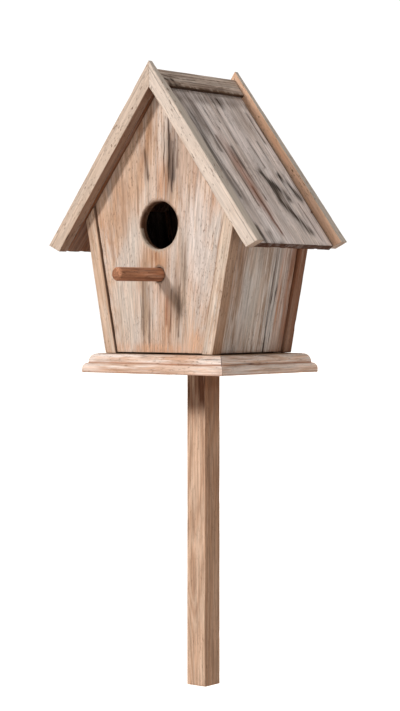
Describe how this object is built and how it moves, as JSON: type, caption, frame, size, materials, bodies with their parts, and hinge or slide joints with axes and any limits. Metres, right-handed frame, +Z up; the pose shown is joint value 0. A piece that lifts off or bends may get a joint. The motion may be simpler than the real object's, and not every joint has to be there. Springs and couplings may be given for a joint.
{
  "type": "birdhouse",
  "caption": "Wooden nest box on a square pole: steep gable roof with barge boards, leaning walls between corner posts, round entrance, perch and rear clean-out door.",
  "frame": {"origin": "centre of the pole's flat bottom end", "axes": "+Z up along the pole, the entrance faces -Y, +X to the right of someone facing the entrance"},
  "size_m": [0.2152, 0.168, 0.5058],
  "materials": {
    "pole_wood": "planed softwood, weathered",
    "floor_wood": "sawn softwood",
    "base_edge_wood": "worn whitewash over pine",
    "post_wood": "worn whitewash over pine",
    "front_panel_wood": "worn whitewash over pine, cracked",
    "back_panel_wood": "worn whitewash over pine",
    "side_panel_wood": "weathered pine",
    "perch_wood": "stained dowel",
    "roof_board_wood": "silvered weathered board",
    "barge_wood": "chalky cream paint, pitted",
    "ridge_cap_wood": "weathered strip",
    "door_wood": "worn whitewash over pine",
    "stop_wood": "sawn softwood",
    "knob_wood": "stained hardwood",
    "hinge_steel": "dulled, slightly rusty",
    "nail_steel": "rusty"
  },
  "bodies": {
    "house": {"back_panel": "back_panel_wood", "barge_board_front_left": "barge_wood", "barge_board_front_right": "barge_wood", "barge_board_rear_left": "barge_wood", "barge_board_rear_right": "barge_wood", "barge_nail_front_left": "nail_steel", "barge_nail_front_right": "nail_steel", "barge_nail_rear_left": "nail_steel", "barge_nail_rear_right": "nail_steel", "base_moulding_back": "base_edge_wood", "base_moulding_front": "base_edge_wood", "base_moulding_left": "base_edge_wood", "base_moulding_right": "base_edge_wood", "corner_post_front_left": "post_wood", "corner_post_front_right": "post_wood", "corner_post_rear_left": "post_wood", "corner_post_rear_right": "post_wood", "door_stop": "stop_wood", "floor_board": "floor_wood", "floor_screw_front_left": "nail_steel", "floor_screw_front_right": "nail_steel", "floor_screw_rear_left": "nail_steel", "floor_screw_rear_right": "nail_steel", "front_panel": "front_panel_wood", "lower_hinge_frame_leaf": "hinge_steel", "lower_hinge_frame_screw_high": "hinge_steel", "lower_hinge_frame_screw_low": "hinge_steel", "lower_hinge_pin": "hinge_steel", "perch": "perch_wood", "pole": "pole_wood", "pole_screw_front": "nail_steel", "pole_screw_rear": "nail_steel", "ridge_cap_left": "ridge_cap_wood", "ridge_cap_right": "ridge_cap_wood", "roof_board_left": "roof_board_wood", "roof_board_right": "roof_board_wood", "roof_nail_front_left": "nail_steel", "roof_nail_front_right": "nail_steel", "roof_nail_rear_left": "nail_steel", "roof_nail_rear_right": "nail_steel", "side_panel_left": "side_panel_wood", "side_panel_right": "side_panel_wood", "turn_button_screw": "hinge_steel", "turn_button_washer": "hinge_steel", "upper_hinge_frame_leaf": "hinge_steel", "upper_hinge_frame_screw_high": "hinge_steel", "upper_hinge_frame_screw_low": "hinge_steel", "upper_hinge_pin": "hinge_steel"},
    "cleanout_door": {"cleanout_door": "door_wood", "door_knob": "knob_wood", "door_knob_screw": "hinge_steel", "lower_hinge_door_leaf": "hinge_steel", "lower_hinge_door_screw_high": "hinge_steel", "lower_hinge_door_screw_low": "hinge_steel", "upper_hinge_door_leaf": "hinge_steel", "upper_hinge_door_screw_high": "hinge_steel", "upper_hinge_door_screw_low": "hinge_steel"},
    "turn_button": {"turn_button": "knob_wood"}
  },
  "joints": [
    {"name": "cleanout_door_hinge", "type": "hinge", "parent": "house", "child": "cleanout_door", "pos_m": [-0.0306, 0.0463, 0.3185], "axis": [0, 0, 1], "range_deg": [0, 110]},
    {"name": "turn_button_pivot", "type": "hinge", "parent": "house", "child": "turn_button", "pos_m": [0.039, 0.0456, 0.3185], "axis": [0, 1, 0], "range_deg": [0, 90]}
  ]
}
